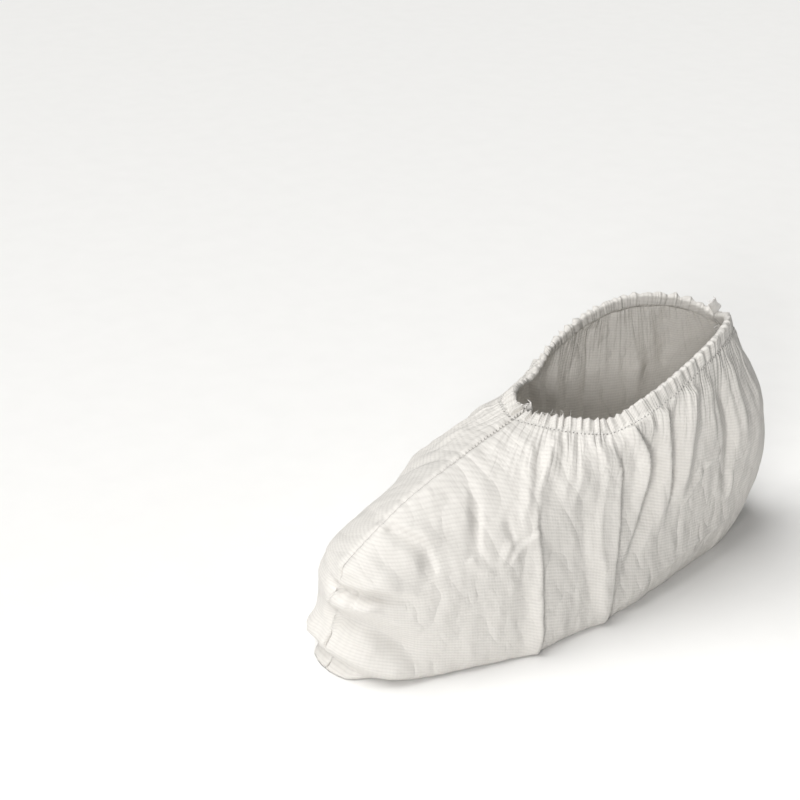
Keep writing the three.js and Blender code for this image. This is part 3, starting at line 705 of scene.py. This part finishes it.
def nonwoven_finish():
    finish = Finish("flash_spun_nonwoven")
    maps = {}
    for title in ("weave", "hem", "seam"):
        uv = finish.node("ShaderNodeUVMap", {"uv_map": title}).outputs[0]
        parts = finish.node("ShaderNodeSeparateXYZ", {}, uv)
        maps[title] = (uv, Value(finish, parts.outputs[0]), Value(finish, parts.outputs[1]))
    weave, along, across = maps["weave"]
    hem, around, below = maps["hem"]
    _, down_seam, off_seam = maps["seam"]
    place = finish.node("ShaderNodeTexCoord", {}).outputs["Object"]

    # embossed ribs with a fainter cross grid, wandering a little, and the tangled fibre
    wander = finish.speckle(place, 45.0, 2.0)
    swirl = finish.speckle(place, 260.0, 5.0, 0.62)
    fibre = finish.speckle(place, 1400.0, 3.0, 0.6)
    rib_pitch = 0.0019
    cross_pitch = 0.0016
    ribs = ((across + wander * 0.0012) * (2 * math.pi / rib_pitch)).sine() * 0.5 + 0.5
    cross = ((along + wander * 0.0010) * (2 * math.pi / cross_pitch)).sine() * 0.5 + 0.5

    # paper-like creases: sharp lines where folded noise turns over
    def creases(where, scale, detail):
        fold = (finish.speckle(where, scale, detail, 0.5) - 0.5).size() * 4.0
        return fold.limited()

    stretch = finish.node("ShaderNodeMapping", {}, weave, Scale=(1.0, 0.55, 1.0)).outputs[0]
    large = creases(stretch, 55.0, 1.5)
    small = creases(stretch, 150.0, 2.0)
    # fine parallel creases running down from the stitches
    streaks = finish.node("ShaderNodeMapping", {}, hem, Scale=(1.0, 0.06, 1.0)).outputs[0]
    near_hem = (1 - below * (1 / 0.055)).limited()
    gather = creases(streaks, 330.0, 1.0) * near_hem

    # needle holes along the stitch lines; the shade inside them is painted into the colour as dark dots
    def holes(run, off, pitch, centre, reach):
        dash = ((run * (2 * math.pi / pitch)).sine() * 0.5 + 0.5) ** 3.0
        return dash * (1 - (off - centre).size() * (1 / reach)).limited()

    hem_pricks = holes(around, below, 0.0021, 0.0004, 0.0009)
    upper_seam = (1.25 - down_seam * (1 / 0.05)).limited() * 0.75 + 0.1
    seam_pricks = holes(down_seam, off_seam, 0.0024, 0.0004, 0.0008) * upper_seam
    pricks = (hem_pricks + seam_pricks).limited()

    # painted shade: the colour is darkened in the grooves of the ribs and of the cross grid, on top of their
    # bump, more or less with the swirl
    groove = (1 - ribs) ** 2.0
    painted_groove_shade = (groove * 0.6 + (1 - cross) ** 2.0 * 0.2) * (0.35 + swirl)
    white = (0.875, 0.855, 0.82, 1.0)
    colour = finish.blend((painted_groove_shade * 0.55).limited(), white, (0.63, 0.61, 0.585, 1.0))
    mottle = ((swirl - 0.5) * 1.6 + 0.5).limited()
    colour = finish.blend(mottle * 0.25, colour, (0.79, 0.77, 0.74, 1.0))
    # painted shade: the needle holes are darkened nearly to black in the colour, besides being sunk in the
    # bump
    colour = finish.blend(pricks * 0.7, colour, (0.20, 0.19, 0.18, 1.0))

    relief = ribs * 0.10 + cross * 0.025 + swirl * 0.10 + fibre * 0.03
    relief = relief + large * 1.4 + small * 0.22 + gather * 0.8 - pricks * 0.8
    bump = finish.node("ShaderNodeBump", {}, Strength=0.8, Distance=0.001, Height=relief)
    cloth = finish.node(
        "ShaderNodeBsdfPrincipled", {},
        Base_Color=colour, Roughness=(swirl * 0.16 + 0.44), Normal=bump.outputs[0],
    )
    cloth.inputs["Specular IOR Level"].default_value = 0.4
    glow = finish.node("ShaderNodeBsdfTranslucent", {}, Color=colour, Normal=bump.outputs[0])
    mixed = finish.node("ShaderNodeMixShader", {}, 0.2, cloth.outputs[0], glow.outputs[0])
    finish.node("ShaderNodeOutputMaterial", {}, Surface=mixed.outputs[0])
    return finish.material


def plain_finish(name, colour, roughness, grain):
    finish = Finish(name)
    place = finish.node("ShaderNodeTexCoord", {}).outputs["Object"]
    grit = finish.speckle(place, grain, 3.0)
    tint = finish.blend(grit * 0.3, colour, tuple(c * 0.86 for c in colour[:3]) + (1.0,))
    bump = finish.node("ShaderNodeBump", {}, Strength=0.4, Distance=0.0001, Height=grit)
    face = finish.node(
        "ShaderNodeBsdfPrincipled", {}, Base_Color=tint, Roughness=roughness, Normal=bump.outputs[0]
    )
    finish.node("ShaderNodeOutputMaterial", {}, Surface=face.outputs[0])
    return finish.material


def overlocked_finish():
    """Cut edges wrapped in overlock thread: close loops over the outer half of the strip."""
    finish = Finish("overlocked_edge")
    uv = finish.node("ShaderNodeUVMap", {"uv_map": "edge"}).outputs[0]
    parts = finish.node("ShaderNodeSeparateXYZ", {}, uv)
    run, depth = Value(finish, parts.outputs[0]), Value(finish, parts.outputs[1])
    place = finish.node("ShaderNodeTexCoord", {}).outputs["Object"]
    grit = finish.speckle(place, 500.0, 3.0)
    loops = ((run + depth * 0.25) * (2 * math.pi / 0.0016)).sine() * 0.5 + 0.5
    wrapped = ((depth - 0.0022) * 2000.0).limited()
    colour = finish.blend(grit * 0.5, (0.84, 0.825, 0.80, 1.0), (0.72, 0.70, 0.68, 1.0))
    # painted shade: the cloth between the overlock loops, sunk in the bump, is darkened in the colour
    colour = finish.blend(wrapped * (1 - loops) * 0.6, colour, (0.55, 0.54, 0.52, 1.0))
    relief = loops * wrapped + grit * 0.3
    bump = finish.node("ShaderNodeBump", {}, Strength=0.7, Distance=0.0004, Height=relief)
    face = finish.node(
        "ShaderNodeBsdfPrincipled", {}, Base_Color=colour, Roughness=0.6, Normal=bump.outputs[0]
    )
    finish.node("ShaderNodeOutputMaterial", {}, Surface=face.outputs[0])
    return finish.material


nonwoven = nonwoven_finish()
overlocked = overlocked_finish()
thread_finish = plain_finish("spun_thread", (0.85, 0.84, 0.82, 1.0), 0.6, 1200.0)
elastic_finish = plain_finish("braided_elastic", (0.86, 0.86, 0.84, 1.0), 0.7, 900.0)

# ---------------------------------------------------------------- threads, strips and seam ends
def finished(bm, name, finish):
    """Turn a bmesh in millimetres into a piece of the cover."""
    bmesh.ops.recalc_face_normals(bm, faces=bm.faces)
    bmesh.ops.scale(bm, vec=(MM, MM, MM), verts=bm.verts)
    for face in bm.faces:
        face.smooth = True
    mesh = bpy.data.meshes.new(name)
    bm.to_mesh(mesh)
    bm.free()
    piece = bpy.data.objects.new(name, mesh)
    bpy.context.scene.collection.objects.link(piece)
    piece.data.materials.append(finish)
    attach(piece, "root")
    return piece


def thread_length(bm, start, end, radius):
    """One straight length of thread between two points."""
    start, end = Vector(start), Vector(end)
    turn = (end - start).to_track_quat("Z", "Y").to_matrix().to_4x4()
    bmesh.ops.create_cone(
        bm, cap_ends=True, segments=5, radius1=radius, radius2=radius * 0.9,
        depth=(end - start).length, matrix=Matrix.Translation((start + end) / 2) @ turn,
    )


def hem_stitches(name, line, out, side):
    """Lock stitches lying along the hem, just proud of the cloth."""
    bm = bmesh.new()
    line = (line + out * STITCH_LIFT) * np.array([side, 1, 1]) + FOOTPRINT_SHIFT
    run = np.concatenate([[0], np.cumsum(np.linalg.norm(np.diff(line, axis=0), axis=1))])
    for stitch in range(int(run[-1] / STITCH_PITCH)):
        ends = (np.array([0.18, 0.82]) + stitch) * STITCH_PITCH
        start, end = (np.array([np.interp(at, run, line[:, k]) for k in range(3)]) for at in ends)
        thread_length(bm, start, end, THREAD_RADIUS)
    piece = finished(bm, name, thread_finish)
    return piece


def seam_allowance(name, edge, inwards, slack):
    """The two cut edges left inside a seam, overlocked together and laid a little to one side."""
    bm = bmesh.new()
    rows = len(edge)
    bmesh.ops.create_grid(bm, x_segments=5, y_segments=rows - 1, size=0.5)
    bm.verts.ensure_lookup_table()
    edge_map = bm.loops.layers.uv.new("edge")
    run = np.concatenate([[0], np.cumsum(np.linalg.norm(np.diff(edge, axis=0), axis=1))])
    wave = np.sin(run / 5.1 + 1.7 * np.sin(run / 13.0)) + 0.5 * np.sin(run / 2.3)
    across = {}
    for vert in bm.verts:
        depth = vert.co.x + 0.5
        row = round((0.5 - vert.co.y) * (rows - 1))
        reach = ALLOWANCE_START + (SEAM_ALLOWANCE - ALLOWANCE_START) * depth
        place = edge[row] + inwards[row] * reach
        place = place + np.array([-1, 0, 0]) * depth * (slack + 0.5 * wave[row])
        vert.co = Vector(place + FOOTPRINT_SHIFT)
        across[vert.index] = (run[row] * MM, depth * SEAM_ALLOWANCE * MM)
    for face in bm.faces:
        for loop in face.loops:
            loop[edge_map].uv = across[loop.vert.index]
    piece = finished(bm, name, overlocked)
    wall = piece.modifiers.new("two layers", "SOLIDIFY")
    wall.thickness = 0.5 * MM
    wall.offset = 0
    return piece


def seam_end(name, node_name, stand, rng):
    """The crumpled, fraying end of a seam that stands out of the hem, in the place of its plain plate."""
    plate = np.array([vert.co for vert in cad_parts[node_name].data.vertices]) / MM
    middle = (plate.max(0) + plate.min(0)) / 2 + stand
    axes = np.linalg.svd(plate - plate.mean(0))[2]
    tall, wide = sorted(axes[:2], key=lambda axis: -abs(axis[2]))
    tall = tall * np.sign(tall[2])
    height, width = np.ptp(plate @ tall), np.ptp(plate @ wide)
    bm = bmesh.new()
    bmesh.ops.create_grid(bm, x_segments=12, y_segments=14, size=0.5)
    phase = rng.random(4) * 6
    for vert in bm.verts:
        a, b = vert.co.x, vert.co.y
        rise = b + 0.5
        fray = 0.07 * math.sin(a * 31 + phase[0]) + 0.05 * math.sin(a * 57 + phase[1])
        narrow = 1 - 0.18 * rise + 0.1 * math.sin(b * 9 + phase[2])
        bend = 0.35 * math.sin(a * 7 + phase[3]) + 0.3 * math.sin(b * 11 + a * 4)
        place = middle + wide * width * a * narrow + tall * height * (b + fray * rise)
        vert.co = Vector(place + np.array([bend * (0.3 + rise), 0, 0]))
    for strand in range(9):
        a = strand / 8 - 0.5
        start = middle + wide * width * a * 0.8 + tall * height * 0.42
        lean = np.array([rng.normal(0, 0.5), 0, 0]) + wide * rng.normal(0, 0.45)
        middle_of = start + (tall + lean) * (0.6 + 0.7 * rng.random())
        thread_length(bm, start, middle_of, 0.11)
        thread_length(bm, middle_of, middle_of + (tall * 0.5 + lean * 1.6) * (0.5 + rng.random()), 0.09)
    piece = finished(bm, name, overlocked)
    wall = piece.modifiers.new("cut edge", "SOLIDIFY")
    wall.thickness = 0.3 * MM
    wall.offset = 0
    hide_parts(node_name)
    return piece


def fold_over_frays(name, line, side, rng):
    """Loose fibres picked out of the fold of the hem near the instep."""
    bm = bmesh.new()
    line = line * np.array([side, 1, 1]) + FOOTPRINT_SHIFT
    for strand in range(16):
        start = line[int(rng.random() ** 1.4 * len(line))]
        reach = rng.normal(0, 0.7, 3) + np.array([0, -0.2, 0.9])
        bend = start + reach * (0.5 + 0.8 * rng.random())
        thread_length(bm, start - reach * 0.3, bend, 0.10)
        thread_length(bm, bend, bend + (reach + rng.normal(0, 0.6, 3)) * 0.8, 0.08)
    piece = finished(bm, name, thread_finish)
    return piece


# ---------------------------------------------------------------- making the cover
PANELS = [("right", 1, RIGHT_FOLDS, 11), ("left", -1, LEFT_FOLDS, 23)]
hem_u = np.linspace(0, 1, COLUMNS_ROUND + 1)
hem_out = cloth_normal(hem_u, 0 * hem_u)
shapes, panels = {}, {}
for side_name, side, folds, seed in PANELS:
    places, maps = panel_shape(folds, seed, side)
    shapes[side_name] = places
    piece = cloth_object(f"{side_name}_panel_cloth", places, maps, side)
    face_outwards(piece, side)
    thicken(piece)
    piece.data.materials.append(nonwoven)
    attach(piece, "root")
    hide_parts(f"{side_name}_panel")
    panels[side_name] = piece

for side_name, side, folds, seed in PANELS:
    places = shapes[side_name]
    hem_stitches(f"{side_name}_hem_stitches", places[HEM_ROWS], hem_out, side)
    near_instep = slice(3, int(COLUMNS_ROUND * 0.3))
    top_of_fold = places[int(HEM_ROWS * 0.45), near_instep]
    fold_over_frays(f"{side_name}_hem_frays", top_of_fold, side, np.random.default_rng(seed + 5))

rows = panel_grid()[1][:, 0]
on_wall = rows <= ALLOWANCE_END_V
for name, column, slack, u in (("instep_seam_allowance", 0, 1.6, 0.0), ("heel_seam_allowance", -1, 2.0, 1.0)):
    right_edge = shapes["right"][HEM_ROWS:, column][on_wall]
    left_edge = shapes["left"][HEM_ROWS:, column][on_wall] * np.array([-1, 1, 1])
    inwards = -cloth_normal(np.full(on_wall.sum(), u), rows[on_wall])
    seam_allowance(name, (right_edge + left_edge) / 2, inwards, slack)
seam_end("heel_seam_tab", "heel_seam_end", np.array([0, 2.4, 2.6]), np.random.default_rng(7))
seam_end("instep_seam_tab", "instep_seam_end", np.array([0, -0.6, 1.2]), np.random.default_rng(8))

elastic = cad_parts["elastic_band"]
elastic.data.materials.clear()
elastic.data.materials.append(elastic_finish)

# ---------------------------------------------------------------- floor, light, camera
bm = bmesh.new()
bmesh.ops.create_grid(bm, x_segments=1, y_segments=1, size=25.0)
floor_mesh = bpy.data.meshes.new("floor")
bm.to_mesh(floor_mesh)
bm.free()
floor = bpy.data.objects.new("floor", floor_mesh)
bpy.context.scene.collection.objects.link(floor)
floor.location.z = -0.0002
floor.data.materials.append(plain_finish("pale_floor", (0.96, 0.96, 0.955, 1.0), 0.9, 40.0))

world = bpy.data.worlds.new("studio")
bpy.context.scene.world = world
world.use_nodes = True
world.node_tree.nodes["Background"].inputs[0].default_value = (1.0, 0.99, 0.97, 1.0)
world.node_tree.nodes["Background"].inputs[1].default_value = 0.1


def aimed(name, light, place, aim):
    lamp = bpy.data.objects.new(name, light)
    bpy.context.scene.collection.objects.link(lamp)
    lamp.location = Vector(place)
    lamp.rotation_mode = "QUATERNION"
    lamp.rotation_quaternion = (Vector(aim) - Vector(place)).to_track_quat("-Z", "Y")


def soft_box(name, place, aim, size, power, colour):
    light = bpy.data.lights.new(name, "AREA")
    light.shape = "RECTANGLE"
    light.size, light.size_y = size
    light.energy = power
    light.color = colour
    aimed(name, light, place, aim)


overhead = bpy.data.lights.new("overhead_light", "SUN")
overhead.energy = 2.75
overhead.angle = 0.95
overhead.color = (1.0, 0.995, 0.98)
aimed("overhead_light", overhead, (-0.25, -0.35, 1.0), (0, 0, 0))
soft_box("key_softbox", (1.0, -1.35, 0.6), (0, 0, 0.06), (0.4, 0.4), 15.5, (1.0, 0.985, 0.965))

camera_data = bpy.data.cameras.new("camera")
camera_data.sensor_width = 36.0
camera_data.lens = 74.25
camera = bpy.data.objects.new("camera", camera_data)
bpy.context.scene.collection.objects.link(camera)
camera.location = (0.6233, -0.5589, 0.5060)
camera.rotation_mode = "QUATERNION"
aim = Vector((-0.0738, -0.0559, 0.1017))
camera.rotation_quaternion = (aim - camera.location).to_track_quat("-Z", "Y")
bpy.context.scene.camera = camera
bpy.context.scene.view_settings.view_transform = "Standard"
